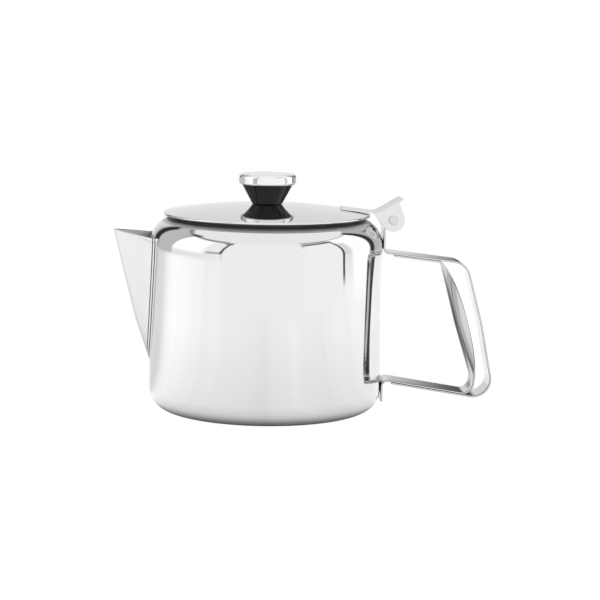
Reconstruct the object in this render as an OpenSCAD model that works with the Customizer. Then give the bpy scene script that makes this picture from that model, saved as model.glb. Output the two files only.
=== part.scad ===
// Stainless teapot with a hinged lid, an open beak spout and a two-strip handle.
// Origin: centre of the flat base. +X to the handle, -X to the spout, +Z up.

/* [Body] */
// Outside diameter of the body
body_d = 100; // [80:1:130]
// Height of the straight wall, from the base to the start of the shoulder
wall_top = 72; // [60:1:95]
// Radius of the rounded corner round the base
base_round = 9; // [6:0.5:12]
// Radius of the shoulder, in section
shoulder_round = 11; // [9:0.5:12]
// Thickness of the body sheet
body_sheet = 0.8; // [0.6:0.1:1.2]
// Radius of the rolled bead round the mouth, in section
mouth_bead = 1.1; // [0.9:0.1:1.4]

/* [Spout] */
// How far the spout's tip stands out from the body
spout_reach = 15.5; // [12:0.5:20]
// Height of the spout's tip
spout_tip_z = 77.4; // [76:0.2:79]
// Height at which the spout meets the body at the bottom
spout_foot_z = 20.5; // [18:0.5:24]
// Half the width of the spout at its rim, where it meets the body
spout_half_w = 16.8; // [14:0.2:18]
// Radius of one strainer hole
strainer_hole_r = 1.6; // [1.2:0.1:2]

/* [Handle] */
// Width of both handle strips
strip_w = 14; // [12.6:0.2:16]
// Thickness of both handle strips
strip_t = 0.75; // [0.6:0.05:1]
// How deep the inner strip is curled at the middle of the grip
curl_depth = 4.6; // [3:0.2:5]

/* [Lid] */
// Outside radius of the lid's rolled rim
lid_r = 44.4; // [43:0.2:46]
// Height of the top of the lid's rim
lid_rim_z = 85.2; // [85:0.1:86]
// Rise of the lid's dome over its rim
lid_rise = 3.7; // [3:0.1:5]
// Thickness of the lid sheet
lid_sheet = 0.75; // [0.6:0.05:1]

/* [Knob] */
// Radius of the knob's foot
knob_foot_r = 6.5; // [5.5:0.1:7.5]
// Radius of the top of the knob's cone
knob_top_r = 11; // [10:0.1:11.5]
// Height of the knob's cone
knob_cone_h = 8.5; // [7:0.1:10]
// Radius of the knob's steel cap
cap_r = 12.25; // [12:0.05:13]
// Height of the knob's steel cap
cap_h = 4.5; // [4:0.1:5]

/* [Hinge] */
// Radius of the hinge pin
pin_r = 1.5; // [1.2:0.1:1.6]
// Radius of the rounded ears round the pin
ear_r = 4.9; // [4.2:0.05:5]
// Thickness of the hinge leaf
leaf_t = 0.8; // [0.6:0.05:0.9]

/* [Hidden] */
$fn = 96;
eps = 0.01;
body_r = body_d / 2;
shoulder_x = body_r - shoulder_round;
shoulder_top = wall_top + shoulder_round;
bead_x = shoulder_x - 0.1;
bead_z = shoulder_top + 0.8;

// Lid: a shallow spherical dome inside a rolled rim
rim_bead = 0.6;
dome_edge_r = lid_r - rim_bead;
dome_round = (dome_edge_r * dome_edge_r + lid_rise * lid_rise) / (2 * lid_rise);
lid_top = lid_rim_z + lid_rise;
lid_under = lid_top - lid_sheet;
function dome_z(r, rise_to) = rise_to - dome_round + sqrt(dome_round * dome_round - r * r);

// Locating ring under the lid
ring_r = bead_x - mouth_bead - 0.7;
ring_t = 0.7;
ring_bottom = shoulder_top - 6;
ring_flange_r = ring_r - 5;

// Knob fastening
screw_r = 2;
screw_hole_r = 2.2;
screw_head_r = 3.8;
screw_head_h = 2.2;
washer_r = 5;
washer_t = 0.8;
insert_r = 3.2;
insert_h = 6;
insert_gap = 0.6;
fit_gap = 0.02;
cap_sheet = 0.6;
cap_round = 1.5;
cap_gap = 0.05;

// Hinge: pin axis, knuckle and ears
pin_x = body_r + 4;
pin_z = lid_rim_z - 2.3;
knuckle_r = 2.3;
knuckle_w = 12;
ear_gap = 0.15;
ear_inner = knuckle_w / 2 + ear_gap;
ear_outer = ear_inner + leaf_t;
pin_head_r = 2;
run_gap = 0.05;

// ---------- Plane geometry ----------

function unit(v) = v / norm(v);

// Points of the arc that rounds corner b between a and c
function fillet(a, b, c, r, n) =
    let (u = unit(a - b), v = unit(c - b), half = acos(u * v) / 2,
         centre = b + unit(u + v) * r / sin(half),
         p = b + u * r / tan(half) - centre, q = b + v * r / tan(half) - centre,
         start = atan2(p.y, p.x), turn = (atan2(q.y, q.x) - start + 540) % 360 - 180)
    [for (i = [0:n]) centre + r * [cos(start + turn * i / n), sin(start + turn * i / n)]];

// A polyline with each inner corner [x, z, radius, steps] rounded
function rounded(pts) = concat(
    [[pts[0].x, pts[0].y]],
    [for (i = [1:len(pts) - 2])
        each fillet([pts[i - 1].x, pts[i - 1].y], [pts[i].x, pts[i].y],
                    [pts[i + 1].x, pts[i + 1].y], pts[i][2], pts[i][3])],
    [[pts[len(pts) - 1].x, pts[len(pts) - 1].y]]);

// Unit vector to the left of the path at point i
function left_of(path, i) =
    let (d = unit(path[min(i + 1, len(path) - 1)] - path[max(i - 1, 0)])) [-d.y, d.x];

// Outline of a sheet of thickness t along a path
function band(path, t) = concat(
    [for (i = [0:len(path) - 1]) path[i] + left_of(path, i) * t / 2],
    [for (i = [len(path) - 1:-1:0]) path[i] - left_of(path, i) * t / 2]);

// A 2D outline in the XZ plane, made w wide along Y and centred on it
module across(w) rotate([90, 0, 0]) translate([0, 0, -w / 2]) linear_extrude(w) children();

// A closed sheet between two grids of points of the same size
module sheet_between(front, back) {
    rows = len(front);
    cols = len(front[0]);
    function f(i, j) = i * cols + j;
    function b(i, j) = (rows + i) * cols + j;
    function quad(p, q, r, s) = [[p, q, r], [p, r, s]];
    polyhedron(
        points = concat([for (row = front) each row], [for (row = back) each row]),
        faces = concat(
            [for (i = [0:rows - 2], j = [0:cols - 2])
                each concat(quad(f(i, j), f(i + 1, j), f(i + 1, j + 1), f(i, j + 1)),
                            quad(b(i, j), b(i, j + 1), b(i + 1, j + 1), b(i + 1, j)))],
            [for (i = [0:rows - 2], e = [cols - 1])
                each concat(quad(f(i, 0), b(i, 0), b(i + 1, 0), f(i + 1, 0)),
                            quad(f(i, e), f(i + 1, e), b(i + 1, e), b(i, e)))],
            [for (j = [0:cols - 2], e = [rows - 1])
                each concat(quad(f(0, j), f(0, j + 1), b(0, j + 1), b(0, j)),
                            quad(f(e, j), b(e, j), b(e, j + 1), f(e, j + 1)))]));
}

// ---------- Body ----------

// Section of the whole body, pulled in by inset all round
module body_section(inset) {
    translate([0, inset]) square([body_r - base_round, base_round]);
    translate([0, base_round]) square([body_r - inset, wall_top - base_round]);
    translate([0, wall_top - 1]) square([shoulder_x, shoulder_round + 1 - inset]);
    translate([body_r - base_round, base_round]) circle(base_round - inset);
    translate([shoulder_x, wall_top]) circle(shoulder_round - inset);
}

// Rows of holes through the wall behind the spout
module strainer_holes() {
    row_gap = 6.5;
    for (row = [0:4], k = [-1:1]) {
        turn = row % 2 == 0 ? k * 10 : (k + 0.5) * 10;
        if (row % 2 == 0 || k < 1)
            translate([0, 0, 36 + row * row_gap])
                rotate([0, -90, turn])
                    translate([0, 0, body_r - 4])
                        cylinder(h = 8, r = strainer_hole_r, $fn = 32);
    }
}

module body_shell() color("gainsboro") difference() {
    rotate_extrude($fn = 180) {
        difference() {
            body_section(0);
            body_section(body_sheet);
            translate([0, wall_top]) square([bead_x, shoulder_round * 2]);
        }
        translate([bead_x, bead_z]) circle(mouth_bead, $fn = 48);
    }
    strainer_holes();
}

// ---------- Spout ----------

// The spout is a beak: at each height its section is a rounded V that opens to the body.
spout_rows = 20;
spout_cols = 16;
spout_knee_z = 38;
spout_knee_reach = 5.9;
spout_nose = 1.8;
spout_slant = 0.15;
spout_sheet = 0.8;
spout_rim_z = 75.2;
spout_first_z = spout_foot_z + 1.2;

function body_x(z, y) =
    let (r = z < wall_top ? body_r : shoulder_x + sqrt(pow(shoulder_round, 2) - pow(z - wall_top, 2)))
    -sqrt(r * r - y * y);
function spout_reach_at(z) = z < spout_knee_z
    ? spout_knee_reach * (z - spout_foot_z) / (spout_knee_z - spout_foot_z)
    : spout_knee_reach
        + (spout_reach - spout_knee_reach) * (z - spout_knee_z) / (spout_rim_z - spout_knee_z);
function spout_half_at(z) =
    spout_half_w * pow((z - spout_foot_z + 1) / (spout_rim_z - spout_foot_z + 1), 0.38);
function v_depth(y, nose) = sqrt(y * y + nose * nose) - nose;
function spout_point(z, s, inset) =
    let (w = spout_half_at(z), y = s * w, keel = -body_r - spout_reach_at(z),
         k = (body_x(z, w) - keel) / v_depth(w, spout_nose),
         slope = k * y / sqrt(y * y + spout_nose * spout_nose),
         n = [1, -slope] / norm([1, -slope]),
         x = keel + k * v_depth(y, spout_nose) + inset * n.x, yy = y + inset * n.y,
         lift = spout_slant * pow((z - spout_foot_z) / (spout_rim_z - spout_foot_z), 3))
    [min(x, body_x(z, yy)), yy, z + lift * max(0, -body_r - x)];
function spout_grid(inset) = [for (i = [0:spout_rows])
    let (z = spout_first_z + (spout_rim_z - spout_first_z) * i / spout_rows)
    [for (j = [0:spout_cols]) spout_point(z, 2 * j / spout_cols - 1, inset)]];

module spout() color("gainsboro") sheet_between(spout_grid(spout_sheet), spout_grid(0));

// ---------- Handle ----------

// Centre lines of the strips in the XZ plane: [x, z, corner radius, corner steps].
// Both arms slope down away from the body, and the inner strip lies against the outer one.
wall_x = body_r + strip_t / 2 + eps;
upper_z = 68.97;
upper_slope = -0.124;
lower_z = 13.56;
lower_slope = -0.164;
strip_end_x = body_r + 4.6;
function layer(slope) = strip_t * sqrt(1 + slope * slope) + 0.02;
function upper_arm(x) = upper_z + upper_slope * (x - body_r);
function lower_arm(x) = lower_z + lower_slope * (x - body_r);

outer_path = rounded([
    [pin_x - knuckle_r + strip_t / 2, pin_z + 0.4],
    [wall_x, pin_z - 4.5, 4, 5],
    [wall_x, upper_arm(wall_x), 2.2, 6],
    [86.2, upper_arm(86.2), 8, 12],
    [93.3, 38, 120, 5],
    [99.7, lower_arm(99.7) - layer(lower_slope), 7.5, 14],
    [strip_end_x, lower_arm(strip_end_x) - layer(lower_slope)]]);

inner_path = rounded([
    [wall_x, 4],
    [wall_x, lower_arm(wall_x), 2.6, 6],
    [92.4, lower_arm(92.4), 4.5, 8],
    [82.9, 37, 120, 12],
    [75.6, upper_arm(75.6) - layer(upper_slope), 2.6, 6],
    [strip_end_x, upper_arm(strip_end_x) - layer(upper_slope)]]);

module handle_outer_strip() color("silver") difference() {
    union() {
        intersection() {
            across(strip_w) polygon(band(outer_path, strip_t));
            union() {
                translate([0, -strip_w, -1]) cube([body_d, strip_w * 2, pin_z - 5.3]);
                translate([0, -knuckle_w / 2, 0]) cube([body_d, knuckle_w, pin_z * 2]);
            }
        }
        translate([pin_x, 0, pin_z]) across(knuckle_w) circle(knuckle_r, $fn = 48);
    }
    translate([pin_x, 0, pin_z]) across(knuckle_w * 2) circle(pin_r + fit_gap, $fn = 48);
}

// The inner strip is curled along its grip, with its edges turned away from the body
grip_low = 13;
grip_high = 63.5;
strip_cols = 12;
curl_angle = 75;
function curl_at(p) = p.x < 70 || p.y <= grip_low || p.y >= grip_high
    ? 0 : curl_depth * pow(sin(180 * (p.y - grip_low) / (grip_high - grip_low)), 0.65);
function strip_point(path, i, u, side) =
    let (c = curl_at(path[i]), half = strip_w / 2 - 0.1 * c * c, out = -left_of(path, i),
         bend = curl_angle * u,
         depth = c * (1 - cos(bend)) / (1 - cos(curl_angle)),
         k = c / curl_depth,
         y = half * ((1 - k) * u + k * sin(bend) / sin(curl_angle)),
         slope = atan(c / half * u * 1.8),
         off = side * strip_t / 2,
         d = depth + off * cos(slope), yy = y - off * sin(slope))
    [path[i].x + out.x * d, yy, path[i].y + out.y * d];
function strip_grid(path, side) = [for (i = [0:len(path) - 1])
    [for (j = [0:strip_cols]) strip_point(path, i, 2 * j / strip_cols - 1, side)]];

module handle_inner_strip() color("silver")
    sheet_between(strip_grid(inner_path, -1), strip_grid(inner_path, 1));

// ---------- Hinge ----------

module hinge_pin() color("gray") translate([pin_x, 0, pin_z]) rotate([90, 0, 0]) {
    cylinder(h = 2 * ear_outer + 0.2, r = pin_r, center = true, $fn = 48);
    for (side = [0, 1]) mirror([0, 0, side]) translate([0, 0, ear_outer + run_gap]) {
        cylinder(h = 0.4, r = pin_head_r, $fn = 48);
        translate([0, 0, 0.4]) cylinder(h = 0.35, r1 = pin_head_r, r2 = pin_head_r - 0.6, $fn = 48);
    }
}

leaf_path = rounded([
    [pin_x - 22.2, dome_z(31.8, lid_top) + leaf_t / 2 + 0.05],
    [pin_x - 6.6, lid_rim_z + 0.4, 6, 12],
    [pin_x + 4.1, pin_z + 9]]);
strap_w = 10;
lever_start = pin_x - 8;
lever_round = 3;

module ear_outline() {
    polygon([[pin_x - 7.7, pin_z + 2.6], [pin_x - 4, pin_z - 3.3], [pin_x - 1, pin_z - 4.7],
             [pin_x + 4.8, pin_z + 1], [pin_x + 2.4, pin_z + 7.8], [pin_x - 3, pin_z + 4.8]]);
    translate([pin_x, pin_z]) circle(ear_r, $fn = 64);
}

// Plan of the leaf: a narrow strap on the lid and a wide thumb lever with a rounded end
module leaf_plan() {
    lever_end = pin_x + 4.5;
    corner_x = lever_end - lever_round;
    corner_y = ear_outer - lever_round;
    translate([0, -strap_w / 2]) square([pin_x, strap_w]);
    translate([lever_start, -ear_outer]) square([corner_x - lever_start, 2 * ear_outer]);
    translate([lever_start, -corner_y]) square([lever_end - lever_start, 2 * corner_y]);
    for (side = [-1, 1])
        translate([corner_x, side * corner_y]) circle(lever_round, $fn = 48);
}

module hinge_leaf() color("silver") {
    intersection() {
        across(2 * ear_outer) polygon(band(leaf_path, leaf_t));
        translate([0, 0, lid_rim_z - 5]) linear_extrude(20) leaf_plan();
    }
    for (side = [0, 1]) mirror([0, side, 0])
        translate([0, ear_outer, 0]) rotate([90, 0, 0]) linear_extrude(leaf_t) difference() {
            ear_outline();
            translate([pin_x, pin_z]) circle(pin_r + run_gap, $fn = 48);
        }
}

// ---------- Lid ----------

module lid_shell() color("gainsboro") difference() {
    rotate_extrude($fn = 180) {
        intersection() {
            translate([0, lid_top - dome_round]) difference() {
                circle(dome_round, $fn = 720);
                circle(dome_round - lid_sheet, $fn = 720);
            }
            translate([0, lid_rim_z - 3]) square([dome_edge_r, lid_rise + 6]);
        }
        translate([dome_edge_r, lid_rim_z - rim_bead]) circle(rim_bead, $fn = 48);
    }
    translate([0, 0, lid_top - 5]) cylinder(h = 10, r = screw_hole_r, $fn = 48);
}

module lid_locating_ring() color("silver") rotate_extrude($fn = 180) polygon([
    [ring_r, dome_z(ring_r, lid_under) - eps],
    [ring_flange_r, dome_z(ring_flange_r, lid_under) - eps],
    [ring_flange_r, dome_z(ring_flange_r, lid_under) - ring_t],
    [ring_r - ring_t, dome_z(ring_r - ring_t, lid_under) - ring_t],
    [ring_r - ring_t, ring_bottom],
    [ring_r, ring_bottom]]);

// ---------- Knob ----------

knob_z = lid_top + eps;
cap_z = knob_z + knob_cone_h;
spigot_r = cap_r - cap_sheet - cap_gap;
spigot_h = cap_h - cap_sheet - cap_gap;

module knob_body() color("black") translate([0, 0, knob_z]) difference() {
    union() {
        cylinder(h = knob_cone_h, r1 = knob_foot_r, r2 = knob_top_r);
        translate([0, 0, knob_cone_h]) cylinder(h = 1, r = knob_top_r);
        translate([0, 0, knob_cone_h + 0.8]) cylinder(h = spigot_h - 2, r = spigot_r);
    }
    translate([0, 0, insert_gap]) cylinder(h = insert_h, r = insert_r, $fn = 48);
    translate([0, 0, -1]) cylinder(h = insert_h, r = screw_hole_r, $fn = 48);
}

module knob_cap() color("gainsboro") translate([0, 0, cap_z + eps]) rotate_extrude() difference() {
    union() {
        square([cap_r - cap_round, cap_h]);
        translate([0, 0.8]) square([cap_r, cap_h - cap_round - 0.8]);
        translate([cap_r - 0.8, 0.8]) circle(0.8, $fn = 32);
        translate([cap_r - cap_round, cap_h - cap_round]) circle(cap_round, $fn = 48);
    }
    translate([-1, 0.75]) square([cap_r - cap_sheet + 1, cap_h - cap_round - 0.75]);
    translate([-1, 0.75]) square([cap_r - cap_round + 1, cap_h - cap_sheet - 0.75]);
    translate([cap_r - cap_round, cap_h - cap_round]) circle(cap_round - cap_sheet, $fn = 48);
    translate([-1, -1]) square([knob_top_r + cap_gap + 1, 3]);
}

module knob_insert() color("goldenrod") translate([0, 0, knob_z + insert_gap]) difference() {
    cylinder(h = insert_h, r = insert_r, $fn = 48);
    translate([0, 0, -1]) cylinder(h = insert_h + 2, r = screw_r + fit_gap, $fn = 48);
}

module knob_screw() color("silver") translate([0, 0, lid_under - washer_t]) difference() {
    union() {
        translate([0, 0, -screw_head_h]) cylinder(h = screw_head_h, r = screw_head_r, $fn = 48);
        cylinder(h = washer_t + lid_sheet + insert_h, r = screw_r, $fn = 48);
    }
    for (turn = [0, 90]) rotate([0, 0, turn])
        translate([-screw_head_r * 0.7, -0.4, -screw_head_h - 1]) cube([screw_head_r * 1.4, 0.8, 2]);
}

module knob_washer() color("silver") translate([0, 0, lid_under - washer_t]) difference() {
    cylinder(h = washer_t - 0.06, r = washer_r, $fn = 64);
    translate([0, 0, -1]) cylinder(h = washer_t + 2, r = screw_hole_r, $fn = 48);
}

body_shell();
spout();
handle_outer_strip();
handle_inner_strip();
hinge_pin();
hinge_leaf();
lid_shell();
lid_locating_ring();
knob_body();
knob_cap();
knob_insert();
knob_screw();
knob_washer();
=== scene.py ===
"""Looks of a stainless teapot: polished sheet steel pieces, a black knob and a white studio."""
import math

import bmesh
import bpy
from mathutils import Matrix, Vector


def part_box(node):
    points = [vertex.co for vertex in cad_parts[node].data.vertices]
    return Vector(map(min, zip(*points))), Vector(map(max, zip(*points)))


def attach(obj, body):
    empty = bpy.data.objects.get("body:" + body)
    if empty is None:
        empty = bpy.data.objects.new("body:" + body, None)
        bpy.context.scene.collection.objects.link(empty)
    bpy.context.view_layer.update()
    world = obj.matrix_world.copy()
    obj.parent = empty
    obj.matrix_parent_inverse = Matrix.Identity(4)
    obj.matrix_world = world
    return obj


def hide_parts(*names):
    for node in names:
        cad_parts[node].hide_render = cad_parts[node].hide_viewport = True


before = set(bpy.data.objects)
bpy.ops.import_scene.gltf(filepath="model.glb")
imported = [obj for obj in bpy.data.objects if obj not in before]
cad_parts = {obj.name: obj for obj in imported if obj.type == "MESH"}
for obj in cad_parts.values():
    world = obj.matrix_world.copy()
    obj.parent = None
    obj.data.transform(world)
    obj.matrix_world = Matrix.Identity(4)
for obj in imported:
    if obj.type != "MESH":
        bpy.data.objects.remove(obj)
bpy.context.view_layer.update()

MM = 0.001

# ---------- Driving dimensions, in metres: some read from the parts in model.glb, the rest given ---

BODY_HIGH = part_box("body_shell")[1]
LID_LOW, LID_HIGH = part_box("lid_shell")
SPOUT_LOW, SPOUT_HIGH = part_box("spout")
STRIP_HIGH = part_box("handle_outer_strip")[1]
PIN_LOW, PIN_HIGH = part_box("hinge_pin")
CAP_LOW, CAP_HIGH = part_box("knob_cap")
KNOB_LOW, KNOB_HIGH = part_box("knob_body")
RING_LOW, RING_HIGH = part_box("lid_locating_ring")

BODY_R = BODY_HIGH.x
BODY_SHEET = 0.8 * MM
BASE_ROUND = 9 * MM
SHOULDER_ROUND = 11 * MM
SHOULDER_X = BODY_R - SHOULDER_ROUND
MOUTH_BEAD = 1.1 * MM
BEAD_X = SHOULDER_X - 0.1 * MM
BEAD_Z = BODY_HIGH.z - MOUTH_BEAD
SHOULDER_TOP = BEAD_Z - 0.8 * MM
WALL_TOP = SHOULDER_TOP - SHOULDER_ROUND
MIDDLE_Z = 40 * MM
SEAT_Z = 81 * MM

LID_R = LID_HIGH.x
RIM_BEAD = 0.6 * MM
LID_SHEET = 0.75 * MM
LID_EDGE = LID_R - RIM_BEAD
LID_RIM_Z = LID_LOW.z + 2 * RIM_BEAD
LID_TOP = KNOB_LOW.z - 0.01 * MM
LID_RISE = LID_TOP - LID_RIM_Z
DOME_R = (LID_EDGE ** 2 + LID_RISE ** 2) / (2 * LID_RISE)

PIN_X = (PIN_LOW.x + PIN_HIGH.x) / 2
PIN_Z = (PIN_LOW.z + PIN_HIGH.z) / 2
STRIP_T = 0.75 * MM
STRIP_HALF = STRIP_HIGH.y
UPPER_ARM_Z = 68.97 * MM
UPPER_ARM_FALL = 0.124
LOWER_ARM_Z = 13.56 * MM
LOWER_ARM_FALL = 0.164

SMOOTH_ANGLE = math.radians(32)
FINE_TURN = 288
# Mark of the bevel faces, where shade is painted along the edges
EDGE_LINE = "edge_line"


# ---------- Plane geometry ----------

def arc(centre, radius, start, end, steps):
    """Points (x, z) of an arc, from start to end in degrees."""
    turns = [math.radians(start + (end - start) * i / steps) for i in range(steps + 1)]
    return [(centre[0] + radius * math.cos(t), centre[1] + radius * math.sin(t)) for t in turns]


def line(start, end, steps):
    """Points (x, z) of a straight stretch, with its ends."""
    return [tuple(a + (b - a) * i / steps for a, b in zip(start, end)) for i in range(steps + 1)]


def rounded(corners):
    """A polyline whose inner corners (x, z, radius, steps) are rounded with arcs."""
    path = [Vector(corners[0][:2])]
    for before, here, after in zip(corners, corners[1:], corners[2:]):
        corner, radius, steps = Vector(here[:2]), here[2], here[3]
        u = (Vector(before[:2]) - corner).normalized()
        v = (Vector(after[:2]) - corner).normalized()
        half = u.angle(v) / 2
        centre = corner + (u + v).normalized() * radius / math.sin(half)
        p = corner + u * radius / math.tan(half) - centre
        q = corner + v * radius / math.tan(half) - centre
        start = math.atan2(p.y, p.x)
        turn = (math.atan2(q.y, q.x) - start + 3 * math.pi) % (2 * math.pi) - math.pi
        for i in range(steps + 1):
            angle = start + turn * i / steps
            path.append(centre + radius * Vector((math.cos(angle), math.sin(angle))))
    path.append(Vector(corners[-1][:2]))
    return path


def spread(path, longest):
    """The path with its long stretches divided, so that no step is over the given length."""
    fine = [path[0]]
    for a, b in zip(path, path[1:]):
        steps = max(1, math.ceil((b - a).length / longest))
        fine += [a.lerp(b, i / steps) for i in range(1, steps + 1)]
    return fine


def left_of(path, i):
    """Unit vector to the left of the path at point i."""
    d = (path[min(i + 1, len(path) - 1)] - path[max(i - 1, 0)]).normalized()
    return Vector((-d.y, d.x))


def dome_z(radius, top):
    """Height of a dome at a distance from the axis."""
    return top - DOME_R + math.sqrt(DOME_R ** 2 - radius ** 2)


# ---------- Mesh helpers ----------

def finish_mesh(bm, name, body, replaced, slot, material, smooth=SMOOTH_ANGLE):
    """Turns a bmesh into a finished piece that rides on a body and stands for CAD nodes."""
    mesh = bpy.data.meshes.new(name)
    bm.to_mesh(mesh)
    bm.free()
    mesh.polygons.foreach_set("use_smooth", [True] * len(mesh.polygons))
    mesh.set_sharp_from_angle(angle=smooth)
    piece = bpy.data.objects.new(name, mesh)
    bpy.context.scene.collection.objects.link(piece)
    piece.data.materials.append(material)
    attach(piece, body)
    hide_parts(*replaced)
    return piece


def spun(profile, segments, closed=True):
    """A bmesh of the (radius, z) profile spun about the Z axis, with its faces outwards."""
    bm = bmesh.new()
    verts = [bm.verts.new((r, 0, z)) for r, z in profile]
    pairs = list(zip(verts, verts[1:])) + ([(verts[-1], verts[0])] if closed else [])
    edges = [bm.edges.new(pair) for pair in pairs]
    bmesh.ops.spin(bm, geom=verts + edges, cent=(0, 0, 0), axis=(0, 0, 1), angle=2 * math.pi,
                   steps=segments, use_merge=True, use_duplicate=False)
    bmesh.ops.remove_doubles(bm, verts=bm.verts, dist=0.001 * MM)
    bmesh.ops.recalc_face_normals(bm, faces=bm.faces)
    return bm


def bent_sheet(rows, cols, place, thickness):
    """A sheet bent from a grid: place(row, across) gives a point, with across from -1 to 1."""
    bm = bmesh.new()
    bmesh.ops.create_grid(bm, x_segments=cols, y_segments=rows, size=1)
    for vert in bm.verts:
        row = round((vert.co.y + 1) / 2 * rows)
        vert.co = place(row, vert.co.x)
    bmesh.ops.recalc_face_normals(bm, faces=bm.faces)
    bmesh.ops.solidify(bm, geom=bm.faces, thickness=thickness)
    bmesh.ops.recalc_face_normals(bm, faces=bm.faces)
    return bm


def soften_edges(bm, width, segments=3, angle=40):
    """Bevels the sharp edges of a bmesh, and marks the bevels for the painted shade along an edge."""
    mark = bm.faces.layers.float.new(EDGE_LINE)
    sharp = [e for e in bm.edges
             if e.is_manifold and e.calc_face_angle(0) > math.radians(angle)]
    bevels = bmesh.ops.bevel(bm, geom=sharp, offset=width, segments=segments, affect="EDGES",
                             profile=0.5, material=-1, clamp_overlap=True)["faces"]
    for face in bevels:
        face[mark] = 1


def cad_copy(node):
    """A merged copy of a CAD node's mesh, with its flat faces joined."""
    bm = bmesh.new()
    bm.from_mesh(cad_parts[node].data)
    bmesh.ops.remove_doubles(bm, verts=bm.verts, dist=0.001 * MM)
    bmesh.ops.dissolve_limit(bm, angle_limit=math.radians(0.5), verts=bm.verts, edges=bm.edges)
    return bm


# ---------- Node groups ----------

def add(tree, kind, inputs=None, **attributes):
    """Adds a shader node. An input value may be a number, a colour or another node's socket."""
    node = tree.nodes.new(kind)
    for key, value in attributes.items():
        setattr(node, key, value)
    for key, value in (inputs or {}).items():
        if isinstance(value, bpy.types.NodeSocket):
            tree.links.new(value, node.inputs[key])
        else:
            node.inputs[key].default_value = value
    return node


def math_node(tree, operation, *values):
    """The result of a Math node."""
    return add(tree, "ShaderNodeMath", dict(enumerate(values)), operation=operation).outputs[0]


def component(tree, vector, axis):
    """One of the X, Y and Z components of a vector."""
    return add(tree, "ShaderNodeSeparateXYZ", {0: vector}).outputs[axis]


def level_part(tree, vector):
    """The vector with its Z set to nought."""
    split = add(tree, "ShaderNodeSeparateXYZ", {0: vector}).outputs
    return add(tree, "ShaderNodeCombineXYZ", {0: split["X"], 1: split["Y"]}).outputs[0]


def length_of(tree, vector):
    """The length of a vector."""
    return add(tree, "ShaderNodeVectorMath", {0: vector}, operation="LENGTH").outputs["Value"]


def ranged(tree, value, low, high, start=0.0, end=1.0):
    """A value between start and end turned into a number between low and high."""
    return add(tree, "ShaderNodeMapRange", {"Value": value, "From Min": start, "From Max": end,
                                            "To Min": low, "To Max": high}).outputs[0]


def new_group(name, numbers, outputs):
    """An empty shader node group that takes a position and named numbers."""
    group = bpy.data.node_groups.new(name, "ShaderNodeTree")
    group.interface.new_socket("Position", in_out="INPUT", socket_type="NodeSocketVector")
    for socket, value in numbers.items():
        item = group.interface.new_socket(socket, in_out="INPUT", socket_type="NodeSocketFloat")
        item.default_value = value
    for socket in outputs:
        group.interface.new_socket(socket, in_out="OUTPUT", socket_type="NodeSocketFloat")
    given = group.nodes.new("NodeGroupInput").outputs
    return group, given, group.nodes.new("NodeGroupOutput").inputs


def turned_lines_group():
    """Fine polishing lines that run round the Z axis, as on a spun and buffed shell."""
    group, given, out = new_group("turned_lines", {"Lines": 900.0, "Break": 3.0}, ["Mask"])
    level = level_part(group, given["Position"])
    way = add(group, "ShaderNodeVectorMath", {0: level}, operation="NORMALIZE").outputs[0]
    broken = add(group, "ShaderNodeVectorMath", {0: way, "Scale": given["Break"]},
                 operation="SCALE").outputs[0]
    along = math_node(group, "ADD", length_of(group, level), component(group, given["Position"], "Z"))
    lines = math_node(group, "MULTIPLY", along, given["Lines"])
    lift = add(group, "ShaderNodeCombineXYZ", {2: lines}).outputs[0]
    place = add(group, "ShaderNodeVectorMath", {0: broken, 1: lift}, operation="ADD").outputs[0]
    noise = add(group, "ShaderNodeTexNoise", {"Vector": place, "Scale": 1.0, "Detail": 5.0})
    group.links.new(noise.outputs["Fac"], out["Mask"])
    return group


def drawn_lines_group():
    """Fine polishing lines along a strip of sheet, broken up along its length."""
    group, given, out = new_group("drawn_lines", {"Lines": 1400.0, "Break": 60.0}, ["Mask"])
    split = add(group, "ShaderNodeSeparateXYZ", {0: given["Position"]}).outputs
    scaled = [math_node(group, "MULTIPLY", split[axis], given[by])
              for axis, by in (("X", "Break"), ("Y", "Lines"), ("Z", "Break"))]
    place = add(group, "ShaderNodeCombineXYZ", dict(enumerate(scaled))).outputs[0]
    noise = add(group, "ShaderNodeTexNoise", {"Vector": place, "Scale": 1.0, "Detail": 5.0})
    group.links.new(noise.outputs["Fac"], out["Mask"])
    return group


def handling_group():
    """Soft smears from wiping and a few specks, as on any used polished surface."""
    group, given, out = new_group("handling_marks", {"Smear Size": 40.0, "Speck Size": 900.0},
                                  ["Smear", "Specks"])
    smear = add(group, "ShaderNodeTexNoise", {"Vector": given["Position"], "Detail": 3.0,
                                              "Scale": given["Smear Size"], "Distortion": 0.8})
    soft = add(group, "ShaderNodeMapRange", {"Value": smear.outputs["Fac"], "From Min": 0.35,
                                             "From Max": 0.75}, interpolation_type="SMOOTHSTEP")
    specks = add(group, "ShaderNodeTexVoronoi", {"Vector": given["Position"],
                                                 "Scale": given["Speck Size"]})
    few = add(group, "ShaderNodeMapRange", {"Value": specks.outputs["Distance"], "From Min": 0.05,
                                            "From Max": 0.12, "To Min": 1.0, "To Max": 0.0})
    group.links.new(soft.outputs[0], out["Smear"])
    group.links.new(few.outputs[0], out["Specks"])
    return group


def inside_group():
    """Mask of the faces that look towards a point inside the pot."""
    group, given, out = new_group("inside_faces", {"Middle Height": 0.04}, ["Mask"])
    item = group.interface.new_socket("Normal", in_out="INPUT", socket_type="NodeSocketVector")
    normal = next(s for s in group.nodes["Group Input"].outputs if s.identifier == item.identifier)
    middle = add(group, "ShaderNodeCombineXYZ", {2: given["Middle Height"]}).outputs[0]
    outward = add(group, "ShaderNodeVectorMath", {0: given["Position"], 1: middle},
                  operation="SUBTRACT").outputs[0]
    facing = add(group, "ShaderNodeVectorMath", {0: outward, 1: normal},
                 operation="DOT_PRODUCT").outputs["Value"]
    group.links.new(math_node(group, "LESS_THAN", facing, 0.0), out["Mask"])
    return group


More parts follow.
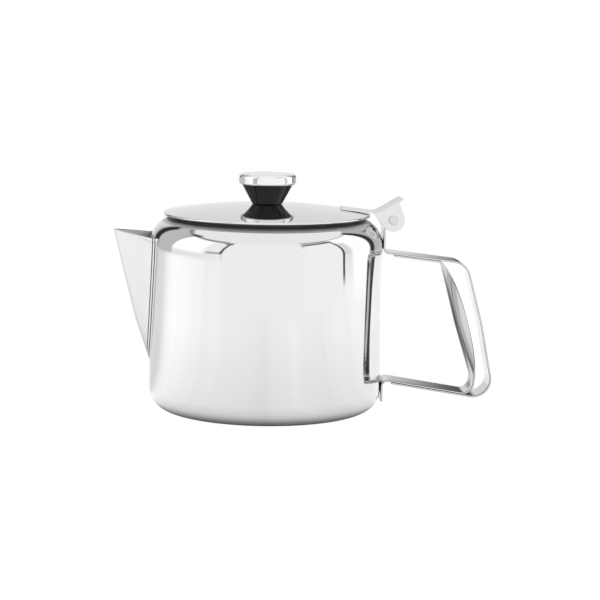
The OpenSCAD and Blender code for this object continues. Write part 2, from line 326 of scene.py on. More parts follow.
def edge_shade_group():
    """Masks of painted shade: the rounded edges of the sheet, and those low on the pot."""
    group, given, out = new_group("edge_shade_masks", {"Low Shade Height": 0.014, "Low Shade Fade": 0.006},
                                  ["Line", "Low Shade"])
    line_mark = add(group, "ShaderNodeAttribute", attribute_name=EDGE_LINE).outputs["Fac"]
    shade_top = math_node(group, "ADD", given["Low Shade Height"], given["Low Shade Fade"])
    low = ranged(group, component(group, given["Position"], "Z"), 1.0, 0.0,
                 start=given["Low Shade Height"], end=shade_top)
    # Line: painted shade on every bevel. The low mask: painted shade, nearly black, near the floor
    group.links.new(line_mark, out["Line"])
    group.links.new(math_node(group, "MULTIPLY", line_mark, low), out["Low Shade"])
    return group


TURNED = turned_lines_group()
DRAWN = drawn_lines_group()
HANDLING = handling_group()
INSIDE = inside_group()
EDGES = edge_shade_group()


# ---------- Materials ----------

BUFF_DEPTH = 0.02 * MM


def start_material(name):
    """A material with its Principled shader, and the position that its patterns read."""
    material = bpy.data.materials.new(name)
    material.use_nodes = True
    tree = material.node_tree
    position = tree.nodes.new("ShaderNodeTexCoord").outputs["Object"]
    return material, tree, tree.nodes["Principled BSDF"].inputs, position


def placed(tree, group, **values):
    """The outputs of a node group placed in a material. Input names use _ for a space."""
    node = tree.nodes.new("ShaderNodeGroup")
    node.node_tree = group
    for key, value in values.items():
        socket = node.inputs[key.replace("_", " ")]
        if isinstance(value, bpy.types.NodeSocket):
            tree.links.new(value, socket)
        else:
            socket.default_value = value
    return node.outputs


def mixed_colour(tree, factor, first, second):
    """A colour between two, by a mask."""
    node = tree.nodes.new("ShaderNodeMix")
    node.data_type = "RGBA"
    colour_a, colour_b = node.inputs[6], node.inputs[7]
    colour_a.default_value = (*first, 1)
    colour_b.default_value = (*second, 1)
    tree.links.new(factor, node.inputs[0])
    return node.outputs[2]


def times(tree, colour, factor, value):
    """The colour multiplied by a value, as far as the mask says."""
    node = tree.nodes.new("ShaderNodeMix")
    node.data_type = "RGBA"
    node.blend_type = "MULTIPLY"
    colour_b = node.inputs[7]
    colour_b.default_value = (value, value, value, 1)
    tree.links.new(factor, node.inputs[0])
    tree.links.new(colour, node.inputs[6])
    return node.outputs[2]


def surface_normal(tree):
    """The normal of the surface, in the piece's own space."""
    return tree.nodes.new("ShaderNodeTexCoord").outputs["Normal"]


# Effects on a polished metal. Each gives a function that takes the material's nodes, position,
# colour and gloss, and gives back the last two.

def satin_inside_painted_light(share=0.92):
    """The faces inside the pot are satin, and have this share of the outside's colour: below one it is
    painted shade, above one painted light.
    """
    satin = 0.28

    def effect(tree, position, colour, gloss):
        inside = placed(tree, INSIDE, Position=position, Middle_Height=MIDDLE_Z,
                        Normal=surface_normal(tree))["Mask"]
        # the colour share paints shade inside the pot and spout, and light under the lid; the satin is a
        # rougher finish
        return times(tree, colour, inside, share), math_node(tree, "MULTIPLY_ADD", inside, satin, gloss)
    return effect


def painted_edge_shade(share):
    """Painted shade: the rounded edges of the sheet are darker, and those low on the pot are nearly black.
    """
    low_shade = 0.1

    def effect(tree, position, colour, gloss):
        edges = placed(tree, EDGES, Position=position)
        colour = times(tree, colour, edges["Line"], share)
        return times(tree, colour, edges["Low Shade"], low_shade), gloss
    return effect


def dark_lines_near_body(first_r, gap, share=0.12):
    """Two thin dark lines on the spout near where it meets the body, at their distances from the pot's
    axis.
    """
    core, fade = 0.1 * MM, 0.22 * MM

    def effect(tree, position, colour, gloss):
        radius = length_of(tree, level_part(tree, position))
        for line_r in (first_r, first_r + gap):
            off = math_node(tree, "ABSOLUTE", math_node(tree, "SUBTRACT", radius, line_r))
            colour = times(tree, colour, ranged(tree, off, 1.0, 0.0, start=core, end=fade), share)
        return colour, gloss
    return effect


def painted_grip_shade(share):
    """Painted shade: the middle of the faces that look back at the body is dark."""
    edge_y, full_y = -3.9 * MM, -2.4 * MM
    square_on, slanted = -0.85, -0.5

    def effect(tree, position, colour, gloss):
        way = component(tree, surface_normal(tree), "X")
        back = ranged(tree, way, 1.0, 0.0, start=square_on, end=slanted)
        middle = ranged(tree, component(tree, position, "Y"), 0.0, 1.0, start=edge_y, end=full_y)
        return times(tree, colour, math_node(tree, "MULTIPLY", back, middle), share), gloss
    return effect


def scuffed_seat_painted_shade(share):
    """The shoulder is scuffed where the lid comes down, and darkened round the mouth with painted shade
    under the lid's rim.
    """
    scuff, ease, shade_low, shade_high = 0.45, 0.5 * MM, 1.1 * MM, 1.5 * MM

    def effect(tree, position, colour, gloss):
        height = component(tree, position, "Z")
        scuffed = ranged(tree, height, 0.0, scuff, start=SEAT_Z, end=SEAT_Z + ease)
        shaded = ranged(tree, height, 0.0, 1.0, start=SEAT_Z + shade_low, end=SEAT_Z + shade_high)
        return times(tree, colour, shaded, share), math_node(tree, "ADD", scuffed, gloss)
    return effect


def painted_rim_shade(share):
    """Painted shade: the outer side of the lid's rolled rim is darkened below its middle."""
    def effect(tree, position, colour, gloss):
        lift = component(tree, surface_normal(tree), "Z")
        rim = math_node(tree, "GREATER_THAN", length_of(tree, position), math.hypot(LID_EDGE, LID_LOW.z))
        turned_down = ranged(tree, lift, 1.0, 0.0, start=-0.3, end=-0.1)
        not_below = ranged(tree, lift, 0.0, 1.0, start=-0.95, end=-0.8)
        lower_half = math_node(tree, "MULTIPLY", turned_down, not_below)
        return times(tree, colour, math_node(tree, "MULTIPLY", rim, lower_half), share), gloss
    return effect


def polished_metal(name, lines, light, dark, rough, *effects, bump=0.02, count=900.0, smear=40.0):
    """Polished metal: faint buffing lines, wiping smears and a slightly uneven gloss."""
    material, tree, shader, position = start_material(name)
    buff = placed(tree, lines, Position=position, Lines=count)["Mask"]
    marks = placed(tree, HANDLING, Position=position, Smear_Size=smear)
    colour = mixed_colour(tree, buff, light, dark)
    uneven = math_node(tree, "MULTIPLY_ADD", marks["Smear"], 0.5, buff)
    gloss = ranged(tree, uneven, *rough, start=0.3, end=1.2)
    for effect in effects:
        colour, gloss = effect(tree, position, colour, gloss)
    tree.links.new(colour, shader["Base Color"])
    tree.links.new(gloss, shader["Roughness"])
    relief = add(tree, "ShaderNodeBump", {"Height": buff, "Strength": bump, "Distance": BUFF_DEPTH})
    tree.links.new(relief.outputs[0], shader["Normal"])
    shader["Metallic"].default_value = 1.0
    return material


def phenolic(name):
    """Black moulded knob: glossy, with faint turned marks and fine dust."""
    material, tree, shader, position = start_material(name)
    turned = placed(tree, TURNED, Position=position, Lines=2500.0)["Mask"]
    marks = placed(tree, HANDLING, Position=position, Smear_Size=160.0, Speck_Size=1500.0)
    black, dust = (0.004, 0.004, 0.004), (0.012, 0.012, 0.012)
    tree.links.new(mixed_colour(tree, marks["Specks"], black, dust), shader["Base Color"])
    uneven = math_node(tree, "MULTIPLY_ADD", marks["Smear"], 0.6, turned)
    tree.links.new(ranged(tree, uneven, 0.08, 0.2, start=0.3, end=1.3), shader["Roughness"])
    relief = add(tree, "ShaderNodeBump", {"Height": turned, "Strength": 0.05, "Distance": BUFF_DEPTH})
    tree.links.new(relief.outputs[0], shader["Normal"])
    shader["Specular IOR Level"].default_value = 0.28
    return material


STEEL_LIGHT = (0.67, 0.67, 0.668)
STEEL_DARK = (0.65, 0.65, 0.648)
STRIP_LIGHT = (0.62, 0.62, 0.618)
STRIP_DARK = (0.58, 0.58, 0.578)
MIRROR = (0.02, 0.06)
BUFFED = (0.05, 0.13)
# The body has painted shade inside the pot and round the mouth under the lid
BODY_STEEL = polished_metal("body_steel", TURNED, STEEL_LIGHT, STEEL_DARK, MIRROR,
                            satin_inside_painted_light(), scuffed_seat_painted_shade(0.35), bump=0.005)
# Painted shade along the edges of the spout, the handle and the hinge, and inside the spout
SPOUT_STEEL = polished_metal("spout_steel", DRAWN, (0.6, 0.6, 0.598), (0.57, 0.57, 0.568), (0.04, 0.1),
                             satin_inside_painted_light(), painted_edge_shade(0.5),
                             dark_lines_near_body(BODY_R + 0.5 * MM, 0.7 * MM))
# The lid has painted light on its underside and painted shade on the lower half of its rim
LID_STEEL = polished_metal("lid_steel", TURNED, STEEL_LIGHT, STEEL_DARK, MIRROR,
                           satin_inside_painted_light(1.4), painted_rim_shade(0.1), bump=0.005)
RING_STEEL = polished_metal("ring_steel", TURNED, (0.6, 0.6, 0.59), (0.5, 0.5, 0.49), (0.12, 0.25))
HANDLE_STEEL = polished_metal("handle_steel", DRAWN, STRIP_LIGHT, STRIP_DARK, BUFFED, painted_edge_shade(0.35))
# The grip has painted shade on its edges and on the faces that look back at the body
GRIP_STEEL = polished_metal("grip_steel", DRAWN, STRIP_LIGHT, STRIP_DARK, BUFFED, painted_edge_shade(0.4),
                            painted_grip_shade(0.14))
HINGE_STEEL = polished_metal("hinge_steel", DRAWN, STEEL_LIGHT, (0.58, 0.58, 0.57), (0.12, 0.24),
                             painted_edge_shade(0.12))
PIN_STEEL = polished_metal("pin_steel", DRAWN, (0.6, 0.6, 0.6), (0.5, 0.5, 0.5), (0.15, 0.3))
CAP_STEEL = polished_metal("cap_steel", TURNED, (0.74, 0.74, 0.735), (0.68, 0.68, 0.67),
                           (0.08, 0.16), count=1800.0)
SCREW_STEEL = polished_metal("fastener_steel", TURNED, (0.5, 0.5, 0.49), (0.4, 0.4, 0.39),
                             (0.25, 0.4), count=3000.0, smear=300.0)
BRASS = polished_metal("brass", TURNED, (0.78, 0.6, 0.28), (0.6, 0.44, 0.2), (0.2, 0.4),
                       count=2500.0, smear=300.0)
PHENOLIC = phenolic("black_phenolic")


# ---------- Body ----------

def build_body():
    """The drawn body: rounded base, straight wall, shoulder and a bead rolled round the mouth."""
    base = (BODY_R - BASE_ROUND, BASE_ROUND)
    shoulder, bead = (SHOULDER_X, WALL_TOP), (BEAD_X, BEAD_Z)
    shoulder_end, bead_start, bead_end = 86.5, -48, 250
    ease, tuck = 0.3 * MM, 0.03

    def wall(radius, start, end):
        rise = end - start
        return ([(radius, start + math.copysign(ease, rise))]
                + line((radius, start + rise * tuck), (radius, end - rise * tuck), 24)
                + [(radius, end - math.copysign(ease, rise))])

    profile = (line((0, 0), (base[0] - ease, 0), 8)
               + arc(base, BASE_ROUND, -90, 0, 36)
               + wall(BODY_R, BASE_ROUND, WALL_TOP)
               + arc(shoulder, SHOULDER_ROUND, 0, shoulder_end, 44)
               + arc(bead, MOUTH_BEAD, bead_start, bead_end, 40)
               + arc(shoulder, SHOULDER_ROUND - BODY_SHEET, 90, 0, 24)
               + wall(BODY_R - BODY_SHEET, WALL_TOP, BASE_ROUND)
               + arc(base, BASE_ROUND - BODY_SHEET, 0, -90, 18)
               + line((base[0] - ease, BODY_SHEET), (0, BODY_SHEET), 8))
    return spun(profile, FINE_TURN, closed=False)


body_piece = finish_mesh(build_body(), "pot_body", "pot", ["body_shell"], "body_steel", BODY_STEEL)


def drill_strainer(piece):
    """Rows of strainer holes through the wall behind the spout."""
    rows, row_gap, lowest, hole_r, turn_gap = 5, 6.5 * MM, 36 * MM, 1.6 * MM, 10
    bm = bmesh.new()
    for row in range(rows):
        turns = (-1, 0, 1) if row % 2 == 0 else (-0.5, 0.5)
        for turn in turns:
            drill = bmesh.ops.create_cone(bm, cap_ends=True, segments=24, radius1=hole_r,
                                          radius2=hole_r, depth=8 * MM)["verts"]
            bmesh.ops.rotate(bm, verts=drill, matrix=Matrix.Rotation(math.pi / 2, 3, "Y"))
            bmesh.ops.translate(bm, verts=drill, vec=(-BODY_R, 0, lowest + row * row_gap))
            bmesh.ops.rotate(bm, verts=drill, cent=(0, 0, 0),
                             matrix=Matrix.Rotation(math.radians(turn * turn_gap), 3, "Z"))
    mesh = bpy.data.meshes.new("strainer_drill")
    bm.to_mesh(mesh)
    bm.free()
    tool = bpy.data.objects.new("strainer_drill", mesh)
    bpy.context.scene.collection.objects.link(tool)
    cut = piece.modifiers.new("strainer", "BOOLEAN")
    cut.operation = "DIFFERENCE"
    cut.solver = "EXACT"
    cut.object = tool
    drilled = bpy.data.meshes.new_from_object(piece.evaluated_get(bpy.context.evaluated_depsgraph_get()))
    piece.modifiers.clear()
    piece.data = drilled
    bpy.data.objects.remove(tool)


drill_strainer(body_piece)


# ---------- Spout ----------

def build_spout():
    """The open beak: at each height its section is a rounded V that opens to the body."""
    foot_z, rim_z, knee_z = 20.5 * MM, 75.2 * MM, 38 * MM
    reach, knee_reach, half_w = -SPOUT_LOW.x - BODY_R, 5.9 * MM, SPOUT_HIGH.y
    nose, slant, swell, sheet, rows, cols = 1.8 * MM, 0.15, 0.38, 0.8 * MM, 72, 56

    def wall_x(z, y):
        over = max(0, z - WALL_TOP)
        radius = SHOULDER_X + math.sqrt(SHOULDER_ROUND ** 2 - over ** 2)
        return -math.sqrt(radius ** 2 - y ** 2)

    def place(row, across):
        z = SPOUT_LOW.z + (rim_z - SPOUT_LOW.z) * row / rows
        up = (z - foot_z) / (rim_z - foot_z)
        if z < knee_z:
            stand = knee_reach * (z - foot_z) / (knee_z - foot_z)
        else:
            stand = knee_reach + (reach - knee_reach) * (z - knee_z) / (rim_z - knee_z)
        w = half_w * ((z - foot_z + MM) / (rim_z - foot_z + MM)) ** swell
        y = across * w
        keel = -BODY_R - stand
        rise = (wall_x(z, w) - keel) / (math.hypot(w, nose) - nose)
        x = keel + rise * (math.hypot(y, nose) - nose)
        return Vector((x, y, z + slant * up ** 3 * max(0, -BODY_R - x)))

    bm = bent_sheet(rows, cols, place, sheet)
    for vert in bm.verts:
        vert.co.z = min(vert.co.z, SPOUT_HIGH.z)
    soften_edges(bm, 0.2 * MM)
    return bm


finish_mesh(build_spout(), "beak_spout", "pot", ["spout"], "spout_steel", SPOUT_STEEL)


# ---------- Handle ----------

WALL_X = BODY_R + STRIP_T / 2
STRIP_END_X = BODY_R + 4.6 * MM
LAYER = STRIP_T * 1.02
STRIP_STEP = 1.2 * MM
STRIP_EASE = 0.18 * MM


def upper_arm(x):
    """Height of the outer strip's middle along the upper arm."""
    return UPPER_ARM_Z - UPPER_ARM_FALL * (x - BODY_R)


def lower_arm(x):
    """Height of the inner strip's middle along the lower arm."""
    return LOWER_ARM_Z - LOWER_ARM_FALL * (x - BODY_R)


def corner(x, z, radius, steps):
    """A rounded corner of a strip's path, given in millimetres."""
    return (x * MM, z, radius * MM, steps)


def outer_strip_path():
    """From the end of the curl, over the pin, down the riser and round the grip."""
    curl_r, curl_start, curl_end = 1.9 * MM, -150, 170
    curl = [Vector(p) for p in arc((PIN_X, PIN_Z), curl_r, curl_start, curl_end, 40)]
    riser = WALL_X / MM
    rest = rounded([
        (curl[-1].x, curl[-1].y),
        corner(riser, PIN_Z - 4.5 * MM, 4, 8),
        corner(riser, upper_arm(WALL_X), 2.2, 12),
        corner(86.2, upper_arm(86.2 * MM), 8, 24),
        corner(93.3, 38 * MM, 120, 8),
        corner(99.7, lower_arm(99.7 * MM) - LAYER, 7.5, 28),
        (STRIP_END_X, lower_arm(STRIP_END_X) - LAYER)])
    return spread(curl + rest[1:], STRIP_STEP)


def inner_strip_path():
    """From the foot on the body, along the lower arm, up the grip and back under the upper arm."""
    riser = WALL_X / MM
    return spread(rounded([
        (WALL_X, 4 * MM),
        corner(riser, lower_arm(WALL_X), 2.6, 12),
        corner(92.4, lower_arm(92.4 * MM), 4.5, 16),
        corner(82.9, 37 * MM, 120, 24),
        corner(75.6, upper_arm(75.6 * MM) - LAYER, 2.6, 12),
        (STRIP_END_X, upper_arm(STRIP_END_X) - LAYER)]), STRIP_STEP)


def build_outer_strip():
    """The outer strip, narrower where it passes between the hinge's ears."""
    path = outer_strip_path()
    narrow, narrow_z, wide_z = 6 * MM, 77.6 * MM, 76.2 * MM

    def place(row, across):
        z = path[row].y
        share = min(1, max(0, (narrow_z - z) / (narrow_z - wide_z)))
        half = narrow + (STRIP_HALF - narrow) * share * share * (3 - 2 * share)
        point = path[row] - left_of(path, row) * STRIP_T / 2
        return Vector((point.x, across * half, point.y))

    bm = bent_sheet(len(path) - 1, 12, place, STRIP_T)
    soften_edges(bm, STRIP_EASE)
    return bm


def build_inner_strip():
    """The inner strip, curled along its grip with its edges turned away from the body."""
    path = inner_strip_path()
    grip_low, grip_high, depth, curl = 13 * MM, 63.5 * MM, 4.6 * MM, math.radians(75)
    grip_x, fullness, draw_in = 70 * MM, 0.65, 100

    def place(row, across):
        here = path[row]
        share = (here.y - grip_low) / (grip_high - grip_low)
        on_grip = here.x > grip_x and 0 < share < 1
        c = math.sin(math.pi * share) ** fullness if on_grip else 0
        half = STRIP_HALF - draw_in * (c * depth) ** 2
        out = -left_of(path, row)
        sag = c * depth * (1 - math.cos(curl * across)) / (1 - math.cos(curl))
        y = half * ((1 - c) * across + c * math.sin(curl * across) / math.sin(curl))
        point = here + out * (sag + STRIP_T / 2)
        return Vector((point.x, y, point.y))

    bm = bent_sheet(len(path) - 1, 24, place, STRIP_T)
    soften_edges(bm, STRIP_EASE)
    return bm


finish_mesh(build_outer_strip(), "outer_strip", "pot", ["handle_outer_strip"], "handle_steel",
            HANDLE_STEEL)
finish_mesh(build_inner_strip(), "inner_strip", "pot", ["handle_inner_strip"], "handle_steel",
            GRIP_STEEL)


# ---------- Hinge ----------

def build_pin():
    """The hinge pin: a plain shank with a domed head at each end."""
    half, head_r, shank_r = PIN_HIGH.y, 2 * MM, 1.5 * MM
    head_h, dome = 0.75 * MM, 0.35 * MM
    seat = half - head_h
    edge = [(head_r, half - dome), (head_r * 0.93, half - dome * 0.5), (head_r * 0.7, half - dome * 0.12)]
    top = [(shank_r, seat), (head_r - 0.1 * MM, seat), (head_r, seat + 0.1 * MM)] + edge + [(0, half)]
    profile = [(r, -z) for r, z in reversed(top)] + top
    bm = spun(profile, 64, closed=False)
    bmesh.ops.rotate(bm, verts=bm.verts, matrix=Matrix.Rotation(math.pi / 2, 3, "X"))
    bmesh.ops.translate(bm, verts=bm.verts, vec=(PIN_X, 0, PIN_Z))
    return bm


def build_leaf():
    """The hinge leaf: a strap for the lid, two ears and a thumb lever, with eased edges."""
    bm = cad_copy("hinge_leaf")
    soften_edges(bm, 0.2 * MM)
    return bm


finish_mesh(build_pin(), "hinge_rivet", "pot", ["hinge_pin"], "pin_steel", PIN_STEEL)
finish_mesh(build_leaf(), "hinge_strap", "lid", ["hinge_leaf"], "hinge_steel", HINGE_STEEL)


# ---------- Lid ----------

def build_lid():
    """The domed lid, with a hole for the knob's screw and a rolled rim."""
    hole_r, edge = 2.2 * MM, LID_EDGE - 0.2 * MM
    top = [(r, dome_z(r, LID_TOP)) for r, _ in line((hole_r, 0), (edge, 0), 48)]
    bead_start, bead_end = 82, -205
    bead = arc((LID_EDGE, LID_RIM_Z - RIM_BEAD), RIM_BEAD, bead_start, bead_end, 36)
    under = [(r, dome_z(r, LID_TOP - LID_SHEET))
             for r, _ in line((LID_EDGE - 0.5 * MM, 0), (hole_r, 0), 40)]
    return spun(top + bead + under, FINE_TURN)


def build_ring():
    """The locating ring under the lid: a flange and a skirt."""
    sheet, flange = 0.7 * MM, 5 * MM
    outer, top = RING_HIGH.x, LID_TOP - LID_SHEET - 0.04 * MM
    bend = 1 * MM
    path = rounded([(outer - flange, dome_z(outer - flange, top) - sheet / 2),
                    (outer - sheet / 2, dome_z(outer, top) - sheet / 2, bend, 8),
                    (outer - sheet / 2, RING_LOW.z)])
    path = spread(path, 2 * MM)
    one = [path[i] + left_of(path, i) * sheet / 2 for i in range(len(path))]
    two = [path[i] - left_of(path, i) * sheet / 2 for i in reversed(range(len(path)))]
    bm = spun([tuple(p) for p in one + two], 192)
    soften_edges(bm, 0.1 * MM, segments=2)
    return bm


finish_mesh(build_lid(), "lid_dome", "lid", ["lid_shell"], "lid_steel", LID_STEEL)
finish_mesh(build_ring(), "locating_ring", "lid", ["lid_locating_ring"], "lid_steel", RING_STEEL)


# ---------- Knob ----------

def build_knob():
    """The black knob: a cone that widens upwards, with a spigot for its cap."""
    foot_r, top_r, spigot_r = 6.5 * MM, 11 * MM, KNOB_HIGH.x
    cone_top = CAP_LOW.z - 0.01 * MM
    spigot_low = cone_top + 0.85 * MM
    foot_z = KNOB_LOW.z
    socket_r, screw_r = 3.2 * MM, 2.2 * MM
    socket_top, socket_low = foot_z + 6.6 * MM, foot_z + 0.6 * MM
    ease, lean = 0.2 * MM, 0.12 * MM
    profile = ([(0, socket_top), (socket_r, socket_top), (socket_r, socket_low), (screw_r, socket_low),
                (screw_r, foot_z), (foot_r - ease, foot_z), (foot_r, foot_z + ease)]
               + line((foot_r + lean, foot_z + 2 * ease), (top_r - lean, cone_top - 0.25 * MM), 12)
               + [(top_r, cone_top), (top_r, spigot_low), (spigot_r, spigot_low + 0.01 * MM),
                  (spigot_r, KNOB_HIGH.z), (0, KNOB_HIGH.z)])
    return spun(profile, 160, closed=False)


def build_cap():
    """The steel cap: a shallow cup with a rounded top edge, turned in under the knob."""
    low, high, r = CAP_LOW.z, CAP_HIGH.z, CAP_HIGH.x
    top_round, low_round, sheet, mouth_r = 1.5 * MM, 0.8 * MM, 0.6 * MM, 11.05 * MM
    chamfer, ease, lip_z = 0.1 * MM, 0.2 * MM, low + 0.75 * MM
    top_centre = (r - top_round, high - top_round)
    profile = (line((mouth_r, low + chamfer), (mouth_r + chamfer, low), 1)
               + arc((r - low_round, low + low_round), low_round, -90, 0, 12)
               + line((r, low + low_round + ease), (r, high - top_round - ease), 3)
               + arc(top_centre, top_round, 0, 90, 18)
               + line((r - top_round - 0.3 * MM, high), (0, high), 8)
               + line((0, high - sheet), (r - top_round, high - sheet), 4)
               + arc(top_centre, top_round - sheet, 90, 0, 8)
               + [(r - sheet, lip_z), (mouth_r, lip_z)])
    return spun(profile, 192)


finish_mesh(build_knob(), "knob_cone", "lid", ["knob_body"], "black_phenolic", PHENOLIC)
finish_mesh(build_cap(), "knob_cap_shell", "lid", ["knob_cap"], "cap_steel", CAP_STEEL)

for node, name, slot, material in (("knob_screw", "screw", "fastener_steel", SCREW_STEEL),
                                   ("knob_washer", "washer", "fastener_steel", SCREW_STEEL),
                                   ("knob_insert", "threaded_insert", "brass", BRASS)):
    copy = cad_copy(node)
    soften_edges(copy, 0.08 * MM, segments=2)
    finish_mesh(copy, name, "lid", [node], slot, material)


# ---------- Studio ----------

TENT_R = 0.6
TENT_H = 1.2
EYE_Z = 75 * MM


def panel_group():
    """Mask of a soft-edged panel, placed by its angles as seen from the middle of the tent."""
    numbers = {"Azimuth": 0.0, "Elevation": 0.0, "Centre": 0.0, "Half Width": 20.0, "Low": 0.0,
               "High": 40.0, "Soft": 3.0, "Lean": 0.0, "Tilt": 0.0}
    group, given, out = new_group("studio_panel", numbers, ["Mask"])
    side = math_node(group, "WRAP", math_node(group, "SUBTRACT", given["Azimuth"], given["Centre"]),
                     180.0, -180.0)
    lean = math_node(group, "MULTIPLY", given["Lean"], given["Elevation"])
    aside = math_node(group, "ABSOLUTE", math_node(group, "SUBTRACT", side, lean))
    tilt = math_node(group, "MULTIPLY", given["Tilt"], side)
    height = math_node(group, "SUBTRACT", given["Elevation"], tilt)
    inside = [math_node(group, "SUBTRACT", given["Half Width"], aside),
              math_node(group, "SUBTRACT", height, given["Low"]),
              math_node(group, "SUBTRACT", given["High"], height)]
    edge = math_node(group, "MINIMUM", math_node(group, "MINIMUM", inside[0], inside[1]), inside[2])
    half_soft = math_node(group, "MULTIPLY", given["Soft"], 0.5)
    back_soft = math_node(group, "MULTIPLY", given["Soft"], -0.5)
    mask = add(group, "ShaderNodeMapRange", {"Value": edge, "From Min": back_soft,
                                             "From Max": half_soft}, interpolation_type="SMOOTHSTEP")
    group.links.new(mask.outputs[0], out["Mask"])
    return group


# Panels of the tent, from the back layer to the front: centre, half width, low and high angle,
# edge softness, radiance, sideways lean, and tilt of the top and bottom. Angles are in degrees,
# from the front towards the handle, and lean and tilt are degrees for each degree.
PANELS = [
    (0, 180, -6.85, 90, 0.2, 1.2, 0, 0),
    (0, 180, -6.85, 46, 0.2, 0.62, 0, 0),
    (180, 26, -7, 40, 4, 0.9, 0, 0),
    (-118, 24, -6.5, 46, 1, 0.72, 0, 0),
    (-76, 29, -6.85, 3, 0.5, 1.2, 0.13, 0),
    (-76, 29, -3.1, 40, 2, 1.55, 0.13, -0.13),
    (-56, 10, -5, 38, 8, 1.25, 0.13, -0.13),
    (-53, 9, -4.5, 3, 5, 0.6, 0.13, 0),
    (-5, 41, -12, 46, 5, 1.27, 0, 0),
    (53, 20.5, -11, 36, 3, 1.3, -0.1, 0.08),
    (98, 22, -10, 44, 4, 1.5, -0.1, 0),
    (81, 5, -7.8, 30, 7, 1.02, -0.1, 0),
    (-46.3, 1.5, -3, 41, 1.8, 0.15, 0.13, 0),
    (-43, 4, 33, 41, 5, 0.25, 0, 0),
    (-71, 26, 40.5, 44, 3, 0.4, 0, -0.14),
    (-102, 8, 43, 49, 5, 0.06, 0, 0.1),
    (-125, 16, 44.5, 48, 3, 0.35, 0, -0.03),
    (-139, 6.5, 0, 36, 4, 0.04, -0.18, 0),
    (54, 20, 34.5, 38.5, 3, 0.16, 0, 0.13),
    (34.5, 1.2, 24, 35, 4, 0.8, 0, 0),
    (75.2, 1.3, -8.5, 38, 1.3, 0.1, -0.1, 0),
    (121, 5, -7, 46, 4, 0.05, 0, 0),
    (150, 14, 2, 20, 8, 0.08, 0, -0.6),
]
# Floor brightness by direction (degrees), and a painted shadow round the pot by distance from the axis
# (mm)
FLOOR_BY_AZIMUTH = [(-180, 1.1), (-150, 0.96), (-131, 0.98), (-120, 1.08), (-109, 1.42), (-98, 1.5),
                    (-83, 1.46), (-61, 1.33), (-27, 1.27), (0, 1.22), (21, 1.3), (46, 1.27),
                    (90, 1.37), (115, 1.33), (137, 1.17), (156, 1.15), (180, 1.1)]
FLOOR_SHADOW_BY_DISTANCE = [(43, 0.05), (46, 0.2), (48, 0.4), (51, 0.65), (55, 0.76), (64, 0.83), (100, 0.88),
                     (142, 0.91), (200, 0.945), (300, 1)]


def steps(tree, value, low, high, stops):
    """A curve through the stops (place, height), with places from low to high."""
    scale = max(height for _, height in stops)
    share = add(tree, "ShaderNodeMapRange", {"Value": value, "From Min": low, "From Max": high}).outputs[0]
    ramp = add(tree, "ShaderNodeValToRGB", {"Fac": share})
    elements = ramp.color_ramp.elements
    elements.remove(elements[0])
    for i, (place, height) in enumerate(stops):
        at = (place - low) / (high - low)
        element = elements[0] if i == 0 else elements.new(at)
        element.position = at
        element.color = (*[height / scale] * 3, 1)
    return math_node(tree, "MULTIPLY", ramp.outputs["Color"], scale)


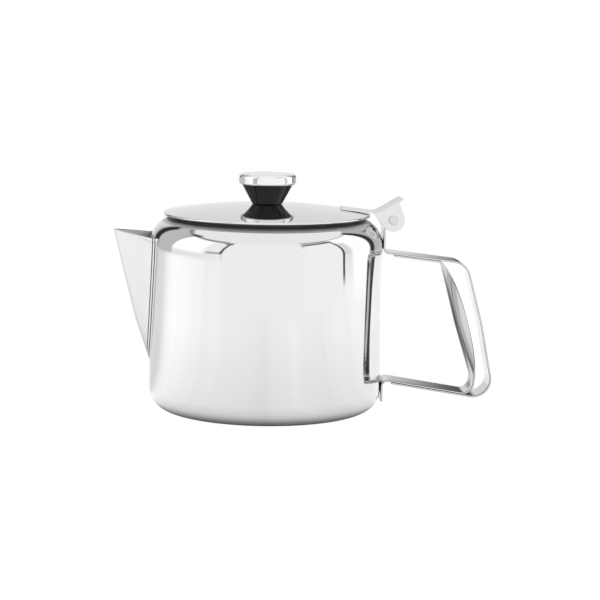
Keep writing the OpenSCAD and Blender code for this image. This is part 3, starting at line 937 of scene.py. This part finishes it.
def tent_material():
    """Light from a tent of white panels with dark gaps, over a floor that glows with painted light and has
    a painted shadow round the pot.
    """
    material = bpy.data.materials.new("studio_light")
    material.use_nodes = True
    tree = material.node_tree
    tree.nodes.remove(tree.nodes["Principled BSDF"])
    position = tree.nodes.new("ShaderNodeTexCoord").outputs["Object"]
    split = add(tree, "ShaderNodeSeparateXYZ", {0: position}).outputs
    front = math_node(tree, "MULTIPLY", split["Y"], -1.0)
    azimuth = math_node(tree, "DEGREES", math_node(tree, "ARCTAN2", split["X"], front))
    distance = length_of(tree, level_part(tree, position))
    height = math_node(tree, "SUBTRACT", split["Z"], EYE_Z)
    elevation = math_node(tree, "DEGREES", math_node(tree, "ARCTAN2", height, distance))
    by_azimuth = steps(tree, azimuth, -180, 180, FLOOR_BY_AZIMUTH)
    floor_shadow = steps(tree, math_node(tree, "MULTIPLY", distance, 1000.0), 40, 300, FLOOR_SHADOW_BY_DISTANCE)
    streaks = add(tree, "ShaderNodeTexNoise", {"W": azimuth, "Scale": 0.07, "Detail": 2.0},
                  noise_dimensions="1D").outputs["Fac"]
    by_streak = ranged(tree, streaks, 0.97, 1.02, start=0.3, end=0.7)
    # the floor's glow is painted light, and its darkening near the pot a painted shadow
    light = math_node(tree, "MULTIPLY", math_node(tree, "MULTIPLY", by_azimuth, by_streak), floor_shadow)
    for centre, half, low, high, soft, radiance, lean, tilt in PANELS:
        mask = placed(tree, PANEL, Azimuth=azimuth, Elevation=elevation, Centre=centre, Half_Width=half,
                      Low=low, High=high, Soft=soft, Lean=lean, Tilt=tilt)["Mask"]
        light = add(tree, "ShaderNodeMix", {0: mask, 2: light, 3: radiance}).outputs[0]
    glow = add(tree, "ShaderNodeEmission", {"Strength": light})
    tree.links.new(glow.outputs[0], tree.nodes["Material Output"].inputs["Surface"])
    return material


PANEL = panel_group()


def build_tent():
    """A closed round tent over a floor. The camera looks through it."""
    floor_z = -0.02 * MM
    profile = [(0, floor_z), (TENT_R, floor_z), (TENT_R, -floor_z), (TENT_R, TENT_H), (0, TENT_H)]
    bm = spun(profile, 128, closed=False)
    bmesh.ops.reverse_faces(bm, faces=bm.faces)
    mesh = bpy.data.meshes.new("studio_tent")
    bm.to_mesh(mesh)
    bm.free()
    tent = bpy.data.objects.new("studio_tent", mesh)
    bpy.context.scene.collection.objects.link(tent)
    tent.data.materials.append(tent_material())
    tent.visible_camera = False


def build_world():
    """Plain white behind the pot."""
    world = bpy.data.worlds.new("studio")
    world.use_nodes = True
    bpy.context.scene.world = world
    world.node_tree.nodes["Background"].inputs["Color"].default_value = (1, 1, 1, 1)
    world.node_tree.nodes["Background"].inputs["Strength"].default_value = 1.0


def build_camera():
    """A long lens, a little above the pot and a little to the spout's side of square-on."""
    distance, height, azimuth = 0.9, 0.174684, math.radians(-3)
    yaw, pitch, roll = math.radians(-0.942), math.radians(8.054), math.radians(0.915)
    data = bpy.data.cameras.new("camera")
    data.lens = 126.07
    data.sensor_width = 36
    camera = bpy.data.objects.new("camera", data)
    bpy.context.scene.collection.objects.link(camera)
    camera.location = (distance * math.sin(azimuth), -distance * math.cos(azimuth), height)
    camera.rotation_euler = (math.pi / 2 - pitch, 0, azimuth + yaw)
    camera.rotation_euler.rotate_axis("Z", roll)
    bpy.context.scene.camera = camera


build_tent()
build_world()
build_camera()
bpy.context.scene.view_settings.view_transform = "Standard"
